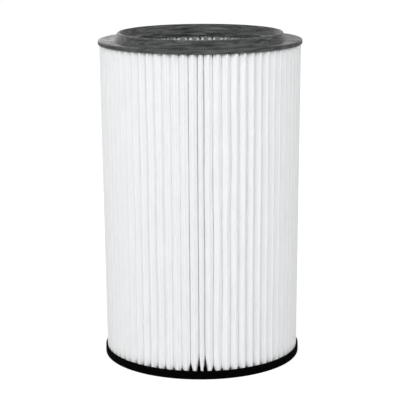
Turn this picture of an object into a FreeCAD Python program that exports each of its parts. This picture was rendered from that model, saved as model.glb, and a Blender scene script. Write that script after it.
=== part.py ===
import FreeCAD, Part
import math
import os

import Sketcher

# A pleated filter cartridge that stands upright on its bottom end cap.
# Millimetres, +Z up. The origin is the centre of the underside, and the seam of the pleats faces -Y.

SIZES = [
    ("flange_radius", 101.4, "outside of the top end cap"),
    ("flange_thickness", 3.9, "flat rim of the top end cap"),
    ("flange_bevel", 1.0, "edge break of the rim's upper edge"),
    ("ring_foot_radius", 86.0, "where the sealing ring rises from the rim"),
    ("ring_crest_radius", 82.5, "outer edge of the sealing ring's crest"),
    ("ring_crest_width", 2.1, "width of the crest with its bevels"),
    ("ring_crest_bevel", 0.5, "edge break of the crest"),
    ("ring_height", 7.3, "crest above the rim"),
    ("dish_height", 0.5, "lowest line of the dish above the rim"),
    ("bore_radius", 64.0, "open bore of the top end cap"),
    ("lip_width", 2.8, "flat-topped bead around the bore, with its bevel"),
    ("lip_slope", 0.9, "run of the bead's outer side down to the dish"),
    ("lip_height", 1.2, "top of the bead above the rim"),
    ("lip_bevel", 1.0, "edge break where the bead turns into the bore"),
    ("media_length", 314.4, "pleats between their two seats"),
    ("media_thickness", 0.7, "polyester fleece"),
    ("pleat_count", 70.0, "folds around the pack, seam fold included"),
    ("pack_top_radius", 100.3, "outer folds under the top end cap"),
    ("pack_bottom_radius", 97.4, "outer folds in the bottom end cap"),
    ("fold_radius", 2.2, "half the width of an outer fold"),
    ("seam_fold_radius", 1.5, "half the width of the seam fold"),
    ("seam_pitch_share", 0.68, "pitch of the seam fold as a share of the others"),
    ("inner_fold_radius", 1.5, "half the width of an inner fold"),
    ("leg_bow_depth", 6.5, "how far below the outer folds the legs bow furthest"),
    ("leg_gap", 0.3, "gap that is left there to the next pleat"),
    ("bottom_pinch_length", 9.0, "length over which the legs turn straight at the bottom"),
    ("core_inner_radius", 65.0, "inside of the core"),
    ("core_wall", 2.0, "ribs and rings of the core"),
    ("core_columns", 34.0, "slots around the core, an even number"),
    ("core_rows", 2.0, "slots along the core"),
    ("core_slot_width", 8.2, "slot between two ribs"),
    ("core_ring_width", 4.0, "ring between two rows of slots"),
    ("core_foot_width", 1.5, "plain foot of the core"),
    ("core_top_width", 0.6, "plain top of the core, under the end cap"),
    ("tray_floor", 3.0, "floor of the bottom end cap"),
    ("tray_height", 8.7, "upturned rim of the bottom end cap"),
    ("tray_wall", 1.5, "thickness of that rim"),
    ("tray_bevel", 1.0, "edge break under the rim"),
    ("seat_clearance", 0.3, "room around the pack in the rim and around the core"),
]

# Straight faces that stand in for the round of a fold, on each side of the sheet
TIP_FACES_OUTSIDE = 3
TIP_FACES_INSIDE = 2
VALLEY_FACES_OUTSIDE = 1
VALLEY_FACES_INSIDE = 2

# Heights and radii that follow from the sizes
CAP_UNDERSIDE = "sizes.tray_floor + sizes.media_length"
RIM_TOP = CAP_UNDERSIDE + " + sizes.flange_thickness"
CREST_TOP = RIM_TOP + " + sizes.ring_height"
CREST_INNER_RADIUS = "sizes.ring_crest_radius - sizes.ring_crest_width"
DISH_BOTTOM = RIM_TOP + " + sizes.dish_height"
LIP_TOP = RIM_TOP + " + sizes.lip_height"
LIP_OUTER_RADIUS = "sizes.bore_radius + sizes.lip_width"
LIP_FOOT_RADIUS = LIP_OUTER_RADIUS + " + sizes.lip_slope"
TRAY_INNER_RADIUS = "sizes.pack_bottom_radius + sizes.seat_clearance"
TRAY_OUTER_RADIUS = TRAY_INNER_RADIUS + " + sizes.tray_wall"
CORE_OUTER_RADIUS = "sizes.core_inner_radius + sizes.core_wall"

doc = FreeCAD.newDocument("filter_cartridge")
sizes = doc.addObject("Spreadsheet::Sheet", "sizes")
for row, (alias, number, meaning) in enumerate(SIZES, start=1):
    sizes.set(f"A{row}", meaning)
    sizes.set(f"B{row}", str(number))
    sizes.setAlias(f"B{row}", alias)
doc.recompute()


def size(expression):
    """The number that an expression of the sheet's sizes stands for now."""
    return float(sizes.evalExpression(expression.replace("sizes.", "")))


def origin_plane(body, role):
    """One of the body's own origin planes."""
    return next(f for f in body.Origin.OriginFeatures if f.Role == role)


def new_sketch(body, name, role):
    """An empty sketch on one of the body's origin planes."""
    sketch = body.newObject("Sketcher::SketchObject", name)
    sketch.AttachmentSupport = [(origin_plane(body, role), "")]
    sketch.MapMode = "FlatFace"
    return sketch


def pin(sketch, direction, line, expression):
    """Hold the start of a line at a distance from the sketch's origin."""
    axis = -2 if direction == "DistanceX" else -1
    if expression == "0":
        sketch.addConstraint(Sketcher.Constraint("PointOnObject", line, 1, axis))
        return
    distance = Sketcher.Constraint(direction, -1, 1, line, 1, size(expression))
    index = sketch.addConstraint(distance)
    sketch.setExpression(f"Constraints[{index}]", expression)


def add_outline(sketch, corners):
    """A closed outline whose corners are pairs of expressions, across and up."""
    points = [FreeCAD.Vector(size(across), size(up), 0) for across, up in corners]
    first = sketch.GeometryCount
    for start, end in zip(points, points[1:] + points[:1]):
        sketch.addGeometry(Part.LineSegment(start, end), False)
    last = sketch.GeometryCount - 1
    for line in range(first, last + 1):
        following = first if line == last else line + 1
        sketch.addConstraint(Sketcher.Constraint("Coincident", line, 2, following, 1))
    for line, (across, up) in enumerate(corners, start=first):
        pin(sketch, "DistanceX", line, across)
        pin(sketch, "DistanceY", line, up)


def revolved_body(name, corners):
    """A body turned about +Z from an outline of radii and heights."""
    body = doc.addObject("PartDesign::Body", name)
    body.Label = name
    sketch = new_sketch(body, name + "_profile", "XZ_Plane")
    add_outline(sketch, corners)
    turned = body.newObject("PartDesign::Revolution", name + "_turned")
    turned.Profile = sketch
    turned.ReferenceAxis = (sketch, ["V_Axis"])
    turned.Angle = 360
    doc.recompute()
    return body


def ring_edge(shape, radius, height):
    """The name of the circular edge with this radius at this height."""
    for index, edge in enumerate(shape.Edges, start=1):
        if not isinstance(edge.Curve, Part.Circle):
            continue
        if abs(edge.Curve.Radius - radius) < 0.01 and abs(edge.Curve.Center.z - height) < 0.01:
            return f"Edge{index}"
    raise ValueError(f"no ring edge of radius {radius} at height {height}")


def bevel_edges(body, name, expression, places):
    """Bevel the ring edges at these radii and heights."""
    before = body.Tip
    names = [ring_edge(before.Shape, size(radius), size(height)) for radius, height in places]
    feature = body.newObject("PartDesign::Chamfer", name)
    feature.Base = (before, names)
    feature.setExpression("Size", expression)
    doc.recompute()


def make_top_end_cap():
    """Cast cap: flat rim, raised sealing ring, sloping dish and a bead around the open bore."""
    body = revolved_body(
        "top_end_cap",
        [
            ("sizes.bore_radius", CAP_UNDERSIDE),
            ("sizes.flange_radius", CAP_UNDERSIDE),
            ("sizes.flange_radius", RIM_TOP),
            ("sizes.ring_foot_radius", RIM_TOP),
            ("sizes.ring_crest_radius", CREST_TOP),
            (CREST_INNER_RADIUS, CREST_TOP),
            (LIP_FOOT_RADIUS, DISH_BOTTOM),
            (LIP_OUTER_RADIUS, LIP_TOP),
            ("sizes.bore_radius", LIP_TOP),
        ],
    )
    bevel_edges(body, "rim_bevel", "sizes.flange_bevel", [("sizes.flange_radius", RIM_TOP)])
    crest = [("sizes.ring_crest_radius", CREST_TOP), (CREST_INNER_RADIUS, CREST_TOP)]
    bevel_edges(body, "crest_bevels", "sizes.ring_crest_bevel", crest)
    bevel_edges(body, "lip_bevel", "sizes.lip_bevel", [("sizes.bore_radius", LIP_TOP)])
    return body


def make_bottom_end_cap():
    """Cast tray: closed floor and an upturned rim that the pleats stand in."""
    body = revolved_body(
        "bottom_end_cap",
        [
            ("0", "0"),
            (TRAY_OUTER_RADIUS, "0"),
            (TRAY_OUTER_RADIUS, "sizes.tray_height"),
            (TRAY_INNER_RADIUS, "sizes.tray_height"),
            (TRAY_INNER_RADIUS, "sizes.tray_floor"),
            ("0", "sizes.tray_floor"),
        ],
    )
    bevel_edges(body, "underside_bevel", "sizes.tray_bevel", [(TRAY_OUTER_RADIUS, "0")])
    return body


def make_inner_core():
    """Moulded tube of ribs and rings, open in slots, that stands inside the pleats."""
    body = doc.addObject("PartDesign::Body", "inner_core")
    body.Label = "inner_core"
    body.setExpression("Placement.Base.z", "sizes.tray_floor")
    tube_sketch = new_sketch(body, "core_section", "XY_Plane")
    for radius in (CORE_OUTER_RADIUS, "sizes.core_inner_radius"):
        circle = Part.Circle(FreeCAD.Vector(0, 0, 0), FreeCAD.Vector(0, 0, 1), size(radius))
        line = tube_sketch.addGeometry(circle, False)
        tube_sketch.addConstraint(Sketcher.Constraint("Coincident", line, 3, -1, 1))
        index = tube_sketch.addConstraint(Sketcher.Constraint("Radius", line, size(radius)))
        tube_sketch.setExpression(f"Constraints[{index}]", radius)
    tube = body.newObject("PartDesign::Pad", "core_tube")
    tube.Profile = tube_sketch
    tube.setExpression("Length", "sizes.media_length")
    doc.recompute()
    plain_volume = tube.Shape.Volume

    # One column of slots is cut through both walls, so half a turn of columns goes all round.
    slots = new_sketch(body, "core_slots", "XZ_Plane")
    rows = int(size("sizes.core_rows"))
    pitch = (
        "(sizes.media_length - sizes.core_foot_width - sizes.core_top_width"
        " + sizes.core_ring_width) / sizes.core_rows"
    )
    half = "sizes.core_slot_width / 2"
    for row in range(rows):
        low = f"sizes.core_foot_width + {row} * {pitch}"
        high = f"{low} + {pitch} - sizes.core_ring_width"
        add_outline(slots, [(half, low), (half, high), (f"-{half}", high), (f"-{half}", low)])
    cut = body.newObject("PartDesign::Pocket", "core_slot_cut")
    cut.Profile = slots
    cut.Type = "ThroughAll"
    cut.Midplane = True
    doc.recompute()
    around = body.newObject("PartDesign::PolarPattern", "core_slots_around")
    around.Originals = [cut]
    around.Axis = (tube_sketch, ["N_Axis"])
    around.Occurrences = int(size("sizes.core_columns")) // 2
    around.setExpression("Angle", "180 - 360 / sizes.core_columns")
    body.Tip = around
    doc.recompute()
    openings = 2 * rows * around.Occurrences
    opened = plain_volume - around.Shape.Volume
    expected = openings * size("sizes.core_slot_width") * size("sizes.core_wall")
    expected *= size(f"{pitch} - sizes.core_ring_width")
    if not 0.9 < opened / expected < 1.1:
        raise ValueError(f"the core's slots took {opened:.0f} instead of {expected:.0f}")
    return body


def fold_angles():
    """Angles of the outer folds and of the inner folds that follow them, seam fold first."""
    count = int(size("sizes.pleat_count"))
    seam_share = size("sizes.seam_pitch_share")
    pitch = 2 * math.pi / (count - 1 + seam_share)
    seam = -math.pi / 2
    outer = [seam]
    inner = []
    angle = seam + seam_share * pitch / 2
    for _ in range(count - 1):
        inner.append(angle)
        outer.append(angle + pitch / 2)
        angle += pitch
    inner.append(angle)
    return outer, inner


def fold_circles(outer_radius):
    """Centre and mid-sheet radius of every fold around one section, outer and inner in turn."""
    half_sheet = size("sizes.media_thickness") / 2
    inner_round = size("sizes.inner_fold_radius")
    inner_radius = size(CORE_OUTER_RADIUS + " + sizes.seat_clearance")
    circles = []
    for number, (outer, inner) in enumerate(zip(*fold_angles())):
        tip_radius = size("sizes.seam_fold_radius" if number == 0 else "sizes.fold_radius")
        for angle, reach, middle in (
            (outer, outer_radius - tip_radius, tip_radius - half_sheet),
            (inner, inner_radius + inner_round, inner_round - half_sheet),
        ):
            centre = FreeCAD.Vector(reach * math.cos(angle), reach * math.sin(angle), 0)
            circles.append((centre, middle))
    return circles


def leg_normal(one, other):
    """Across the straight line that leaves one fold circle and meets the next on its far side."""
    (centre, middle), (next_centre, next_middle) = one, other
    step = next_centre - centre
    across = (middle + next_middle) / step.Length
    along = FreeCAD.Vector(step).normalize()
    left = FreeCAD.Vector(-along.y, along.x, 0)
    side = math.sqrt(1 - across * across)
    turn = -1 if centre.Length > next_centre.Length else 1
    return along * across + left * (turn * side)


def fold_points(centre, radius, start, end, is_outer_fold, faces):
    """Points on the round of a fold from one leg to the other, over its tip."""
    first = math.atan2(start.y, start.x)
    sweep = (math.atan2(end.y, end.x) - first) % (2 * math.pi)
    if not is_outer_fold:
        sweep -= 2 * math.pi
    angles = [first + sweep * step / faces for step in range(faces + 1)]
    return [centre + FreeCAD.Vector(math.cos(a), math.sin(a), 0) * radius for a in angles]


def leg_knee(one, other, normal, bow_share, outside):
    """Point of a leg where it bows furthest towards the middle of the valley beside it."""
    half_sheet = size("sizes.media_thickness") / 2
    ends = [one[0] + normal * one[1], other[0] - normal * other[1]]
    outwards = FreeCAD.Vector(normal)
    valley = other[0]
    if one[0].Length < other[0].Length:
        ends.reverse()
        outwards = normal * -1
        valley = one[0]
    tip_end, valley_end = ends
    leg = valley_end - tip_end
    straight = tip_end + leg * (size("sizes.leg_bow_depth") / leg.Length)
    surface = straight + outwards * half_sheet
    room = -surface.cross(valley).z / outwards.cross(valley).z
    bow = bow_share * (room - size("sizes.leg_gap") / 2)
    return straight + outwards * (bow + (half_sheet if outside else -half_sheet))


def sheet_outline(circles, height, bow_share, outside):
    """Closed outline of one side of the folded sheet at one height."""
    half_sheet = size("sizes.media_thickness") / 2
    tip_faces = TIP_FACES_OUTSIDE if outside else TIP_FACES_INSIDE
    valley_faces = VALLEY_FACES_OUTSIDE if outside else VALLEY_FACES_INSIDE
    following = circles[1:] + circles[:1]
    normals = [leg_normal(one, other) for one, other in zip(circles, following)]
    points = []
    for number, (centre, middle) in enumerate(circles):
        is_outer_fold = number % 2 == 0
        convex = is_outer_fold == outside
        radius = middle + half_sheet if convex else middle - half_sheet
        faces = tip_faces if is_outer_fold else valley_faces
        start = normals[number - 1] * -1
        points += fold_points(centre, radius, start, normals[number], is_outer_fold, faces)
        leg = (circles[number], following[number], normals[number])
        points.append(leg_knee(*leg, bow_share, outside))
    return [FreeCAD.Vector(point.x, point.y, height) for point in points]


def closed_wire(points):
    """The outline as a wire."""
    return Part.makePolygon(points + points[:1])


def skin_between(lower, upper):
    """Flat three-sided faces from one outline up to the next."""
    faces = []
    for number, corner in enumerate(lower):
        after = (number + 1) % len(lower)
        for others in ((lower[after], upper[after]), (upper[after], upper[number])):
            faces.append(Part.Face(closed_wire([corner, *others])))
    return faces


def make_pleated_media():
    """One sheet folded all the way round; its legs bow, except where the bottom end holds them."""
    low = size("sizes.tray_floor")
    high = size(CAP_UNDERSIDE)
    top_radius = size("sizes.pack_top_radius")
    bottom_radius = size("sizes.pack_bottom_radius")
    straight_legs = 0
    bowed_legs = 1
    sections = [
        (low, straight_legs),
        (low + size("sizes.bottom_pinch_length"), bowed_legs),
        (high, bowed_legs),
    ]
    faces = []
    rims = []
    for outside in (True, False):
        outlines = []
        for height, bow_share in sections:
            share = (height - low) / (high - low)
            circles = fold_circles(bottom_radius + share * (top_radius - bottom_radius))
            outlines.append(sheet_outline(circles, height, bow_share, outside))
        for lower, upper in zip(outlines, outlines[1:]):
            faces += skin_between(lower, upper)
        rims.append((closed_wire(outlines[0]), closed_wire(outlines[-1])))
    for outer_rim, inner_rim in zip(*rims):
        faces.append(Part.makeFace([outer_rim, inner_rim], "Part::FaceMakerBullseye"))
    skin = Part.makeCompound(faces)
    skin.sewShape()
    solid = Part.Solid(skin.Shells[0])
    if solid.Volume < 0:
        solid.reverse()
    media = doc.addObject("Part::Feature", "pleated_media")
    media.Label = "pleated_media"
    media.Shape = solid
    media.Placement = FreeCAD.Placement()
    return media


def check_and_export(pieces):
    """Stop at a failed object or a bad solid, then write one file for each piece."""
    doc.recompute()
    for thing in doc.Objects:
        if "Invalid" in thing.State or "Error" in thing.State:
            raise ValueError(f"{thing.Name} failed")
    for piece in pieces:
        shape = piece.Shape
        if shape.isNull() or not shape.isValid() or len(shape.Solids) != 1:
            raise ValueError(f"{piece.Label} isn't one sound solid")
        print(f"{piece.Label}: {len(shape.Faces)} faces, {shape.Volume / 1000:.1f} cm3")
    os.makedirs("parts", exist_ok=True)
    for piece in pieces:
        piece.Shape.exportStep(f"parts/{piece.Label}.step")


check_and_export(
    [make_top_end_cap(), make_bottom_end_cap(), make_inner_core(), make_pleated_media()]
)
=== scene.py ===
import math

import bpy
import numpy as np
from mathutils import Matrix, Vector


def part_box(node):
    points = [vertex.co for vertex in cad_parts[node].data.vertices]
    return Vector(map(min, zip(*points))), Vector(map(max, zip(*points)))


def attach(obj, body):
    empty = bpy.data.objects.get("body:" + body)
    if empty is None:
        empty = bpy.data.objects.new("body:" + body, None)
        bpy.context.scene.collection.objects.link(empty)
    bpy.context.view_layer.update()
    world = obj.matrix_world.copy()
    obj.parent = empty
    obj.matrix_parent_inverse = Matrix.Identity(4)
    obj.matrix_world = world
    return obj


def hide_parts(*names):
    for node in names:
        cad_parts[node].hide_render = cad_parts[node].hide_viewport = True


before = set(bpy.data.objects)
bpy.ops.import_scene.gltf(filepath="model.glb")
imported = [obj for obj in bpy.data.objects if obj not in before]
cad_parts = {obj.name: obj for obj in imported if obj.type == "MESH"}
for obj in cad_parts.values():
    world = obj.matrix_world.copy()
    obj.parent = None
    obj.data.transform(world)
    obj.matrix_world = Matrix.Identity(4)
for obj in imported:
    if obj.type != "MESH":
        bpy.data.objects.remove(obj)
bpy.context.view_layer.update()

# A pleated filter cartridge of white polyester fleece between two cast end caps.
# Metres. Lengths written in millimetres are multiplied by MM.
MM = 0.001

# Places that come from the frame
cap_low, cap_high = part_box("top_end_cap")
pack_low, pack_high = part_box("pleated_media")
tray_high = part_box("bottom_end_cap")[1]
core_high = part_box("inner_core")[1]
RING_HEIGHT = 7.3 * MM
CAP_RADIUS = cap_high.x
CREST_TOP = cap_high.z
RIM_TOP = CREST_TOP - RING_HEIGHT
CAP_UNDERSIDE = cap_low.z
TRAY_RADIUS = tray_high.x
TRAY_RIM_TOP = tray_high.z
PACK_BOTTOM = pack_low.z
PACK_TOP = pack_high.z
PACK_TOP_RADIUS = pack_high.x
CORE_OUTER_RADIUS = core_high.x


# Small tools for colours, nodes and meshes

def linear(hex_code):
    """A colour written as sRGB hex, turned linear."""
    parts = [int(hex_code[i:i + 2], 16) / 255 for i in (1, 3, 5)]
    bent = [c / 12.92 if c <= 0.04045 else ((c + 0.055) / 1.055) ** 2.4 for c in parts]
    return (*bent, 1.0)


def add_node(tree, kind, sockets=None, links=None, **settings):
    """A node of this kind with its settings, its socket values and the outputs that feed it."""
    node = tree.nodes.new(kind)
    for name, value in settings.items():
        setattr(node, name, value)
    for name, value in (sockets or {}).items():
        node.inputs[name].default_value = value
    for name, source in (links or {}).items():
        tree.links.new(source, node.inputs[name])
    return node


def noise(tree, size, place, values):
    """Noise with features of about this size, in metres."""
    sockets = {"Scale": 1 / size, **values}
    return add_node(tree, "ShaderNodeTexNoise", sockets, {"Vector": place}).outputs["Fac"]


def stretched(tree, place, scale):
    """A place whose pattern is drawn out along each axis where the scale is below 1."""
    mapping = add_node(tree, "ShaderNodeMapping", {"Scale": scale}, {"Vector": place})
    return mapping.outputs["Vector"]


def two_shades(tree, share, dark, light):
    """A colour between two shades, each given as the share where it is reached and its hex."""
    ramp = add_node(tree, "ShaderNodeValToRGB", links={"Fac": share})
    for stop, (position, hex_code) in zip(ramp.color_ramp.elements, (dark, light)):
        stop.position = position
        stop.color = linear(hex_code)
    return ramp.outputs["Color"]


def remap(tree, value, old, new):
    """A value carried from one range over to another and held within it."""
    sockets = {"From Min": old[0], "From Max": old[1], "To Min": new[0], "To Max": new[1]}
    return add_node(tree, "ShaderNodeMapRange", sockets, {"Value": value}).outputs["Result"]


def bump(tree, height, strength, depth, onto=None):
    """A surface normal bent by a height, on top of another bent normal if one is given."""
    links = {"Height": height}
    if onto is not None:
        links["Normal"] = onto
    sockets = {"Strength": strength, "Distance": depth}
    return add_node(tree, "ShaderNodeBump", sockets, links).outputs["Normal"]


def new_material(name):
    """An empty material, its node tree and the place on the object that its patterns follow."""
    material = bpy.data.materials.new(name)
    material.use_nodes = True
    tree = material.node_tree
    tree.nodes.clear()
    place = add_node(tree, "ShaderNodeTexCoord").outputs["Object"]
    return material, tree, place


def finish_material(tree, values, links):
    """The surface shader of a material, joined to its output."""
    surface = add_node(tree, "ShaderNodeBsdfPrincipled", values, links)
    add_node(tree, "ShaderNodeOutputMaterial", links={"Surface": surface.outputs["BSDF"]})


def new_piece(name, vertices, faces, material, smooth=True):
    """A mesh piece in the frame's own coordinates."""
    mesh = bpy.data.meshes.new(name)
    mesh.from_pydata(vertices, [], faces)
    mesh.validate()
    mesh.materials.append(material)
    if smooth:
        mesh.shade_smooth()
    piece = bpy.data.objects.new(name, mesh)
    bpy.context.scene.collection.objects.link(piece)
    return piece


def band(first, second, count, turned_over=False):
    """Faces between two closed rows of points; turned over, they face the other way."""
    faces = []
    for point in range(count):
        after = (point + 1) % count
        if turned_over:
            faces.append((first + point, second + point, second + after, first + after))
        else:
            faces.append((first + point, first + after, second + after, second + point))
    return faces


# Materials

def cast_polyurethane_charcoal():
    """Cast polyurethane with carbon black: a semi-gloss mould skin, cloudy and a little wavy."""
    material, tree, place = new_material("cast_polyurethane_charcoal")
    # The liquid runs across the mould as it is poured, which draws the clouds of pigment out
    # into flat streaks.
    layered = stretched(tree, place, (0.4, 0.8, 4.5))
    cloud_size = 9 * MM
    cloud_look = {"Detail": 6.0, "Roughness": 0.60, "Distortion": 0.4}
    clouds = noise(tree, cloud_size, layered, cloud_look)
    colour = two_shades(tree, clouds, (0.34, "#323333"), (0.66, "#696a6a"))
    roughness = remap(tree, clouds, (0.35, 0.65), (0.13, 0.38))
    # The skin shrinks as it sets, in soft waves of a few millimetres.
    wave_size = 6 * MM
    waves = noise(tree, wave_size, place, {"Detail": 2.0, "Roughness": 0.5})
    wavy = bump(tree, waves, 1.0, 0.4 * MM)
    # Mould grain of about 0.3 mm, drawn at 1.4 mm so that it shows from a step away.
    grain_size = 1.4 * MM
    grain = noise(tree, grain_size, place, {"Detail": 3.0, "Roughness": 0.65})
    grainy = bump(tree, grain, 0.2, 0.12 * MM, onto=wavy)
    # Steep sides drag along the mould as the cap is pulled out, which takes their shine.
    facing = add_node(tree, "ShaderNodeTexCoord").outputs["Normal"]
    facing_up = add_node(tree, "ShaderNodeSeparateXYZ", links={0: facing}).outputs["Z"]
    shine = remap(tree, facing_up, (0.35, 0.8), (0.1, 0.5))
    finish_material(
        tree,
        {"IOR": 1.5, "Metallic": 0.0},
        {
            "Base Color": colour,
            "Roughness": roughness,
            "Specular IOR Level": shine,
            "Normal": grainy,
        },
    )
    return material


def cast_polyurethane_black():
    """Black cast polyurethane, left matt by its mould, that swallows nearly all light."""
    material, tree, place = new_material("cast_polyurethane_black")
    cloud_size = 9 * MM
    clouds = noise(tree, cloud_size, place, {"Detail": 4.0})
    colour = two_shades(tree, clouds, (0.35, "#020202"), (0.70, "#060606"))
    grain_size = 1.2 * MM
    grain = noise(tree, grain_size, place, {"Detail": 2.0})
    grainy = bump(tree, grain, 0.3, 0.2 * MM)
    finish_material(
        tree,
        {"IOR": 1.5, "Metallic": 0.0, "Roughness": 0.8, "Specular IOR Level": 0.03},
        {"Base Color": colour, "Normal": grainy},
    )
    return material


def spunbond_polyester_fleece():
    """Spunbond polyester fleece: bright white, matt, faintly mottled by uneven fibre laydown."""
    material, tree, place = new_material("spunbond_polyester_fleece")
    # Fibres lie mostly along the web, so the mottling is drawn out along the pleats.
    along_web = stretched(tree, place, (1.0, 1.0, 0.35))
    mottle_size = 7 * MM
    mottle = noise(tree, mottle_size, along_web, {"Detail": 6.0, "Roughness": 0.62})
    colour = two_shades(tree, mottle, (0.30, "#f6f7f9"), (0.72, "#fcfdfd"))
    # Fibres are 0.02 mm thick, so their felted bundles are drawn at 0.9 mm.
    bundle_size = 0.9 * MM
    bundles = noise(tree, bundle_size, along_web, {"Detail": 3.0, "Roughness": 0.7})
    felted = bump(tree, bundles, 0.4, 0.2 * MM)
    finish_material(
        tree,
        {"IOR": 1.45, "Metallic": 0.0, "Roughness": 0.85, "Specular IOR Level": 0.25},
        {"Base Color": colour, "Normal": felted},
    )
    return material


def moulded_polypropylene_grey():
    """Moulded polypropylene, mid grey: satin, with a faint haze from the mould."""
    material, tree, place = new_material("moulded_polypropylene_grey")
    haze_size = 6 * MM
    haze = noise(tree, haze_size, place, {"Detail": 4.0})
    colour = two_shades(tree, haze, (0.35, "#77787a"), (0.70, "#868789"))
    hazy = bump(tree, haze, 0.2, 0.15 * MM)
    finish_material(
        tree,
        {"IOR": 1.49, "Metallic": 0.0, "Roughness": 0.45},
        {"Base Color": colour, "Normal": hazy},
    )
    return material


# Turned pieces

CORNER_STEPS = 5
STEPS_AROUND = 192


def rounded_profile(corners):
    """An outline of radius and height whose corners are rounded; each corner has its own radius."""
    count = len(corners)
    outline = []
    for number, (radius, height, corner_radius) in enumerate(corners):
        here = np.array([radius, height])
        if corner_radius == 0:
            outline.append(here)
            continue
        before = np.array(corners[number - 1][:2]) - here
        after = np.array(corners[(number + 1) % count][:2]) - here
        before /= np.linalg.norm(before)
        after /= np.linalg.norm(after)
        half_angle = math.acos(float(np.clip(before @ after, -1, 1))) / 2
        reach = corner_radius / math.tan(half_angle)
        middle = (before + after) / np.linalg.norm(before + after)
        centre = here + middle * corner_radius / math.sin(half_angle)
        start = here + before * reach - centre
        end = here + after * reach - centre
        sweep = math.pi - 2 * half_angle
        for step in range(CORNER_STEPS + 1):
            share = step / CORNER_STEPS
            blend = start * math.sin((1 - share) * sweep) + end * math.sin(share * sweep)
            outline.append(centre + blend / math.sin(sweep))
    return outline


def turned_piece(name, outline, material):
    """A piece turned about +Z from a closed outline."""
    vertices = []
    faces = []
    count = len(outline)
    for turn in range(STEPS_AROUND):
        angle = 2 * math.pi * turn / STEPS_AROUND
        for radius, height in outline:
            vertices.append((radius * math.cos(angle), radius * math.sin(angle), height))
        next_turn = (turn + 1) % STEPS_AROUND
        faces += band(turn * count, next_turn * count, count, turned_over=True)
    return new_piece(name, vertices, faces, material)


def make_top_end_cap(material):
    """Cast cap: flat rim, raised sealing ring with steep sides, shallow dish and bore lip."""
    ring_foot = 85.8 * MM
    crest_outside = 81.8 * MM
    crest_inside = 79.8 * MM
    dish_outside = 77.8 * MM
    dish_top = RIM_TOP + 2.3 * MM
    dish_bottom = RIM_TOP + 0.5 * MM
    lip_foot = 67.7 * MM
    lip_outside = 66.8 * MM
    lip_top = RIM_TOP + 1.2 * MM
    bore = 64.0 * MM
    # Radius, height and rounding of each corner
    outline = rounded_profile([
        (bore, CAP_UNDERSIDE, 0.3 * MM),
        (CAP_RADIUS, CAP_UNDERSIDE, 0.4 * MM),
        (CAP_RADIUS, RIM_TOP, 0.9 * MM),
        (ring_foot, RIM_TOP, 0.7 * MM),
        (crest_outside, CREST_TOP, 0.5 * MM),
        (crest_inside, CREST_TOP, 0.5 * MM),
        (dish_outside, dish_top, 0.8 * MM),
        (lip_foot, dish_bottom, 0.7 * MM),
        (lip_outside, lip_top, 0.3 * MM),
        (bore, lip_top, 0.9 * MM),
    ])
    return turned_piece("top_end_cap_cast", outline, material)


def make_bottom_end_cap(material):
    """Cast tray with its upturned rim, a little thicker at its foot."""
    # The outline stops just short of the axis, so that no face there is without area.
    axis_room = 0.02 * MM
    rim_inside = TRAY_RADIUS - 1.5 * MM
    foot_inside = rim_inside - 0.2 * MM
    outline = rounded_profile([
        (axis_room, 0.0, 0),
        (TRAY_RADIUS, 0.0, 1.2 * MM),
        (TRAY_RADIUS, TRAY_RIM_TOP, 0.6 * MM),
        (rim_inside, TRAY_RIM_TOP, 0.5 * MM),
        (foot_inside, PACK_BOTTOM, 0),
        (axis_room, PACK_BOTTOM, 0),
    ])
    return turned_piece("bottom_end_cap_cast", outline, material)


# The folded fleece

PLEATS = 70
# Folds are numbered round the pack from the seam's tip: even ones are tips, odd ones valleys.
# Each leg has the number of the fold that it starts from.
FOLDS = 2 * PLEATS
# The pleat with the seam takes this share of the width of the others.
SEAM_SHARE = 0.68
SHEET = 0.7 * MM
FOLD_RADIUS = 1.5 * MM
SEAM_FOLD_RADIUS = 1.2 * MM
INNER_FOLD_RADIUS = 2.4 * MM
CORE_ROOM = 0.3 * MM
PACK_BOTTOM_RADIUS = 97.4 * MM
# The legs of a pleat bow outwards until they nearly touch the next pleat. The bow is a share
# of the room between a leg and the middle of the valley beside it.
LEG_BOW = 0.98
LEG_BOW_AT_SEAM = 0.92
MOST_BOW = 0.985
# The potting pulls the legs straight at both ends, furthest beside the seam.
TOP_PINCH = 5.0 * MM
BOTTOM_PINCH = 8.0 * MM
BOTTOM_PINCH_AT_SEAM = 22.0 * MM
BOW_LEFT_AT_TOP = 0.85
# How much the seam pulls at the legs beside it, and how much more that counts for their bow
SEAM_PULL = {0: 1.0, 1: 1.0, 2: 0.22, 3: 0.22, -1: 1.0, -2: 1.0, -3: 0.45, -4: 0.45}
SEAM_PULL_ON_BOW = 2
# The bow is widest at this share of the leg from the tip; the powers shape it on either side.
WIDEST_BOW = 0.11
BOW_RISE_POWER = 0.8
BOW_FALL_POWER = 1.5
# Tips wander sideways and legs bow a little unevenly along the pack, less at its ends.
SWAY = 0.35 * MM
SWAY_LEFT_AT_ENDS = 0.3
UNEVEN_BOW = 0.015
WAVES_PER_FOLD = 3
SHORTEST_WAVE = 90 * MM
LONGEST_WAVE = 260 * MM
# The sum of three waves is about this much stronger than one.
WAVE_SUM = 1.7
TIP_STEPS = 5
VALLEY_STEPS = 3
# Places along a leg as shares from the tip, closer together where it bows most
LEG_PLACES = np.array([0.03, 0.07, 0.11, 0.15, 0.22, 0.36, 0.58, 0.82])
# Levels of the mesh, in the pinched ends and between them
BOTTOM_LEVELS = 9
MIDDLE_LEVELS = 12
TOP_LEVELS = 5
BOTTOM_CROWDING = 1.4


def fold_angles():
    """Angles of the tips, seam first, and of the valleys that follow them."""
    pitch = 2 * math.pi / (PLEATS - 1 + SEAM_SHARE)
    inner = -math.pi / 2 + SEAM_SHARE * pitch / 2 + pitch * np.arange(PLEATS)
    outer = np.roll(inner + pitch / 2, 1)
    outer[0] = -math.pi / 2
    return outer, inner


def smooth_step(share):
    """Eased share from 0 to 1."""
    share = np.clip(share, 0, 1)
    return share * share * (3 - 2 * share)


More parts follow.
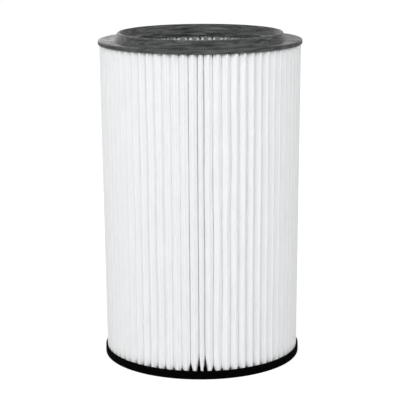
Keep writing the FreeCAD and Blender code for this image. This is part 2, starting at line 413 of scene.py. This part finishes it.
def directions(angles):
    """Flat unit vectors at these angles."""
    return np.stack([np.cos(angles), np.sin(angles)], 1)


def turn_between(one, other):
    """Cross product of flat vectors, which is positive where the other lies to the left."""
    return one[..., 0] * other[..., 1] - one[..., 1] * other[..., 0]


def level_heights():
    """Heights of the mesh levels, closer together where the legs are pulled straight."""
    bottom_zone = 1.2 * BOTTOM_PINCH_AT_SEAM
    top_zone = 2 * TOP_PINCH
    bottom = PACK_BOTTOM + bottom_zone * np.linspace(0, 1, BOTTOM_LEVELS) ** BOTTOM_CROWDING
    top = np.linspace(PACK_TOP - top_zone, PACK_TOP, TOP_LEVELS)
    middle = np.linspace(bottom[-1], top[0], MIDDLE_LEVELS + 2)[1:-1]
    return np.concatenate([bottom, middle, top])


def slow_waves(rng, count, amplitude):
    """A slow wave along each of so many folds or legs, as a function of height."""
    shape = (WAVES_PER_FOLD, count)
    lengths = rng.uniform(SHORTEST_WAVE, LONGEST_WAVE, shape)
    phases = rng.uniform(0, 2 * math.pi, shape)
    weights = rng.normal(0, amplitude / WAVE_SUM, shape)
    return lambda height: (weights * np.sin(2 * math.pi * height / lengths + phases)).sum(0)


def leg_bows(height, uneven):
    """Each leg's bow at this height, as a share of its room."""
    pull = np.zeros(FOLDS)
    for leg, share in SEAM_PULL.items():
        pull[leg] = share
    pinch = BOTTOM_PINCH + pull * (BOTTOM_PINCH_AT_SEAM - BOTTOM_PINCH)
    at_bottom = smooth_step((height - PACK_BOTTOM) / pinch)
    from_top = smooth_step((PACK_TOP - height) / TOP_PINCH)
    at_top = BOW_LEFT_AT_TOP + (1 - BOW_LEFT_AT_TOP) * from_top
    full = LEG_BOW + np.clip(pull * SEAM_PULL_ON_BOW, 0, 1) * (LEG_BOW_AT_SEAM - LEG_BOW)
    return np.clip(full * at_bottom * at_top * (1 + uneven(height)), 0, MOST_BOW)


def fold_circles(height, outer_angles, inner_angles, sway):
    """At one height, each fold's centre and mid-sheet radius, and each valley's midline."""
    taper = (height - PACK_BOTTOM) / (PACK_TOP - PACK_BOTTOM)
    pack_radius = PACK_BOTTOM_RADIUS + taper * (PACK_TOP_RADIUS - PACK_BOTTOM_RADIUS)
    from_bottom = smooth_step((height - PACK_BOTTOM) / BOTTOM_PINCH)
    from_top = smooth_step((PACK_TOP - height) / TOP_PINCH)
    freedom = SWAY_LEFT_AT_ENDS + (1 - SWAY_LEFT_AT_ENDS) * (from_bottom * from_top)
    turned = freedom * sway(height) / PACK_TOP_RADIUS
    tips = np.full(PLEATS, FOLD_RADIUS)
    tips[0] = SEAM_FOLD_RADIUS
    centres = np.empty((FOLDS, 2))
    inner_reach = CORE_OUTER_RADIUS + CORE_ROOM + INNER_FOLD_RADIUS
    centres[0::2] = (pack_radius - tips)[:, None] * directions(outer_angles + turned)
    centres[1::2] = inner_reach * directions(inner_angles)
    radii = np.empty(FOLDS)
    radii[0::2] = tips - SHEET / 2
    radii[1::2] = INNER_FOLD_RADIUS - SHEET / 2
    # Each valley's midline runs outwards and sways as the tips beside it do.
    leaning = inner_angles + (turned + np.roll(turned, -1)) / 2
    midlines = pack_radius * directions(leaning) - centres[1::2]
    return centres, radii, midlines


def leg_normals(centres, radii):
    """For each leg, the direction from its first fold's centre to where it leaves that fold."""
    step = np.roll(centres, -1, 0) - centres
    length = np.linalg.norm(step, axis=1)
    along = step / length[:, None]
    across = (radii + np.roll(radii, -1)) / length
    left = np.stack([-along[:, 1], along[:, 0]], 1)
    turn = np.where(np.arange(FOLDS) % 2 == 0, -1.0, 1.0)
    return along * across[:, None] + left * (turn * np.sqrt(1 - across ** 2))[:, None]


def leg_places(from_tip):
    """The places along a leg, as shares from its first fold."""
    return LEG_PLACES if from_tip else 1 - LEG_PLACES[::-1]


def leg_bulges(centres, radii, midlines, normals, bows):
    """For each leg, how far each of its places bows away from the straight line."""
    inwards = np.clip((LEG_PLACES - WIDEST_BOW) / (1 - WIDEST_BOW), 0, 1)
    rise = np.clip(LEG_PLACES / WIDEST_BOW, 0, 1) ** BOW_RISE_POWER
    shape_from_tip = rise * np.cos(math.pi / 2 * inwards) ** BOW_FALL_POWER
    bulges = []
    for leg in range(FOLDS):
        after = (leg + 1) % FOLDS
        from_tip = leg % 2 == 0
        valley = after if from_tip else leg
        midline = midlines[valley // 2]
        outwards = normals[leg] if from_tip else -normals[leg]
        shape = shape_from_tip if from_tip else shape_from_tip[::-1]
        places = leg_places(from_tip)[:, None]
        leg_start = centres[leg] + normals[leg] * radii[leg]
        leg_end = centres[after] - normals[leg] * radii[after]
        surface = leg_start + places * (leg_end - leg_start) + outwards * SHEET / 2
        room = -turn_between(surface - centres[valley], midline)
        room /= turn_between(outwards, midline)
        bulges.append((bows[leg] * shape * room)[:, None] * outwards)
    return bulges


def fold_arc(centre, radius, start, end, is_tip):
    """Points round one fold from start to end: to the left at a tip, to the right in a valley."""
    first = math.atan2(start[1], start[0])
    last = math.atan2(end[1], end[0])
    sweep = (last - first) % (2 * math.pi)
    steps = TIP_STEPS
    if not is_tip:
        sweep -= 2 * math.pi
        steps = VALLEY_STEPS
    return centre + radius * directions(first + sweep * np.linspace(0, 1, steps + 1))


def sheet_side(side, centres, radii, normals, bulges):
    """The closed outline of one side of the sheet: 1 is the side outside at the tips, -1 the other."""
    arcs = []
    for fold in range(FOLDS):
        is_tip = fold % 2 == 0
        away = side if is_tip else -side
        radius = radii[fold] + away * SHEET / 2
        arcs.append(fold_arc(centres[fold], radius, -normals[fold - 1], normals[fold], is_tip))
    points = []
    for fold in range(FOLDS):
        arc_end = arcs[fold][-1]
        next_start = arcs[(fold + 1) % FOLDS][0]
        places = leg_places(fold % 2 == 0)[:, None]
        points.append(arcs[fold])
        points.append(arc_end + places * (next_start - arc_end) + bulges[fold])
    return np.concatenate(points)


def make_pleated_media(material):
    """The fleece folded all the way round, and its length along the folds at mid height."""
    rng = np.random.default_rng(7)
    outer_angles, inner_angles = fold_angles()
    sway = slow_waves(rng, PLEATS, SWAY)
    uneven = slow_waves(rng, FOLDS, UNEVEN_BOW)
    heights = level_heights()
    vertices = []
    for height in heights:
        centres, radii, midlines = fold_circles(height, outer_angles, inner_angles, sway)
        normals = leg_normals(centres, radii)
        bulges = leg_bulges(centres, radii, midlines, normals, leg_bows(height, uneven))
        for side in (1, -1):
            outline = sheet_side(side, centres, radii, normals, bulges)
            vertices += [(x, y, height) for x, y in outline]
    # Each level holds the points of the first side and then those of the second.
    ring = len(vertices) // len(heights) // 2
    faces = []
    for level in range(len(heights) - 1):
        base = 2 * ring * level
        above = base + 2 * ring
        faces += band(base, above, ring)
        faces += band(base + ring, above + ring, ring, turned_over=True)
    last = 2 * ring * (len(heights) - 1)
    faces += band(0, ring, ring, turned_over=True)
    faces += band(last, last + ring, ring)
    piece = new_piece("polyester_fleece_pleated", vertices, faces, material)
    middle_level = len(heights) // 2 * 2 * ring
    outline = np.array(vertices[middle_level:middle_level + ring])[:, :2]
    length = np.linalg.norm(np.roll(outline, -1, 0) - outline, axis=1).sum()
    return piece, float(length)


# Light, floor and camera

WHITE = (1, 1, 1, 1)
BLACK = (0, 0, 0, 1)


def make_floor():
    """A plain pale floor that keeps the shadow and runs out to white."""
    material, tree, _ = new_material("studio_floor")
    lit = add_node(tree, "ShaderNodeBsdfDiffuse", {"Color": linear("#c8c8c8")})
    glow = add_node(tree, "ShaderNodeEmission", {"Color": WHITE, "Strength": 0.72})
    path = add_node(tree, "ShaderNodeLightPath")
    none = add_node(tree, "ShaderNodeEmission", {"Color": BLACK, "Strength": 0.0})
    seen = add_node(
        tree, "ShaderNodeMixShader",
        links={0: path.outputs["Is Camera Ray"], 1: none.outputs[0], 2: glow.outputs[0]},
    )
    both = add_node(tree, "ShaderNodeAddShader", links={0: lit.outputs[0], 1: seen.outputs[0]})
    add_node(tree, "ShaderNodeOutputMaterial", links={"Surface": both.outputs[0]})
    reach = 20.0
    # Just below the underside, so that the two don't share a plane
    height = -0.2 * MM
    corners = [(x * reach, y * reach, height) for x, y in ((-1, -1), (1, -1), (1, 1), (-1, 1))]
    floor = new_piece("studio_floor", corners, [(0, 1, 2, 3)], material, smooth=False)


def make_world():
    """A white backdrop all round and a dimmer ceiling, weaker as a lamp than they look."""
    world = bpy.data.worlds.new("studio_surroundings")
    bpy.context.scene.world = world
    world.use_nodes = True
    tree = world.node_tree
    tree.nodes.clear()
    path = add_node(tree, "ShaderNodeLightPath")
    camera_or_glossy = add_node(
        tree, "ShaderNodeMath",
        links={0: path.outputs["Is Camera Ray"], 1: path.outputs["Is Glossy Ray"]},
        operation="MAXIMUM",
    )
    seen = add_node(
        tree, "ShaderNodeMath",
        links={0: camera_or_glossy.outputs[0], 1: path.outputs["Is Transmission Ray"]},
        operation="MAXIMUM",
    )
    direction = add_node(tree, "ShaderNodeTexCoord").outputs["Generated"]
    heading = add_node(tree, "ShaderNodeSeparateXYZ", links={0: direction})
    # White up to about 10 degrees above the floor, and the ceiling from about 30 degrees.
    backdrop = remap(tree, heading.outputs["Z"], (0.16, 0.50), (1.0, 0.22))
    # Behind the object the backdrop's light falls off from left to right. Only reflections
    # show it, because the camera sees the floor and no sky.
    fall_off = remap(tree, heading.outputs["X"], (-0.07, 0.09), (1.0, 0.55))
    strength = add_node(
        tree, "ShaderNodeMath", links={0: backdrop, 1: fall_off}, operation="MULTIPLY"
    )
    white = add_node(
        tree, "ShaderNodeBackground", {"Color": WHITE}, {"Strength": strength.outputs[0]}
    )
    lamp = add_node(tree, "ShaderNodeBackground", {"Color": WHITE, "Strength": 0.48})
    mixed = add_node(
        tree, "ShaderNodeMixShader",
        links={0: seen.outputs[0], 1: lamp.outputs[0], 2: white.outputs[0]},
    )
    add_node(tree, "ShaderNodeOutputWorld", links={"Surface": mixed.outputs[0]})


def add_softbox(name, place, target, width, height, power):
    """A large rectangular lamp that faces a point on the object."""
    light = bpy.data.lights.new(name, "AREA")
    light.shape = "RECTANGLE"
    light.size = width
    light.size_y = height
    light.energy = power
    lamp = bpy.data.objects.new(name, light)
    bpy.context.scene.collection.objects.link(lamp)
    away = np.array(place) - np.array(target)
    away = away / np.linalg.norm(away)
    side = np.cross((0, 0, 1), away)
    side /= np.linalg.norm(side)
    up = np.cross(away, side)
    turn = Matrix([list(side), list(up), list(away)]).transposed()
    lamp.matrix_world = Matrix.Translation(place) @ turn.to_4x4()


def make_lamps():
    """Five softboxes in an arc in front, strongest left of the middle."""
    distance = 2.7
    lamp_height = 1.5
    target = (0.0, 0.0, 0.16)
    width = 1.4
    height = 1.6
    for name, degrees_right, watts in (
        ("far_left_softbox", -65, 6.1),
        ("left_softbox", -35, 22.7),
        ("middle_softbox", 0, 13.7),
        ("right_softbox", 35, 13.6),
        ("far_right_softbox", 65, 6.2),
    ):
        angle = math.radians(degrees_right)
        place = (distance * math.sin(angle), -distance * math.cos(angle), lamp_height)
        add_softbox(name, place, target, width, height, watts)


def make_camera():
    """The photograph's view: from the front, a little above, with a long lens."""
    distance = 1.456
    height_above_rim = 0.1527
    look_down = math.radians(12.26)
    lean = math.radians(-0.36)
    across = -1.1 * MM
    focal_px = 1466.0
    image_px = 400.0
    camera = bpy.data.cameras.new("camera")
    camera.sensor_width = 36.0
    camera.lens = focal_px / image_px * camera.sensor_width
    camera.clip_end = 60.0
    holder = bpy.data.objects.new("camera", camera)
    bpy.context.scene.collection.objects.link(holder)
    place = Matrix.Translation((across, -distance, RIM_TOP + height_above_rim))
    tilt = Matrix.Rotation(math.pi / 2 - look_down, 4, "X")
    holder.matrix_world = place @ tilt @ Matrix.Rotation(lean, 4, "Z")
    bpy.context.scene.camera = holder


# Putting it together

top_cap = make_top_end_cap(cast_polyurethane_charcoal())
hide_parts("top_end_cap")
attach(top_cap, "root")

bottom_cap = make_bottom_end_cap(cast_polyurethane_black())
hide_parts("bottom_end_cap")
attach(bottom_cap, "root")

media, sheet_length = make_pleated_media(spunbond_polyester_fleece())
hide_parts("pleated_media")
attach(media, "root")

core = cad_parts["inner_core"]
core.data.materials.clear()
core.data.materials.append(moulded_polypropylene_grey())

make_floor()
make_world()
make_lamps()
make_camera()
bpy.context.scene.view_settings.view_transform = "Standard"
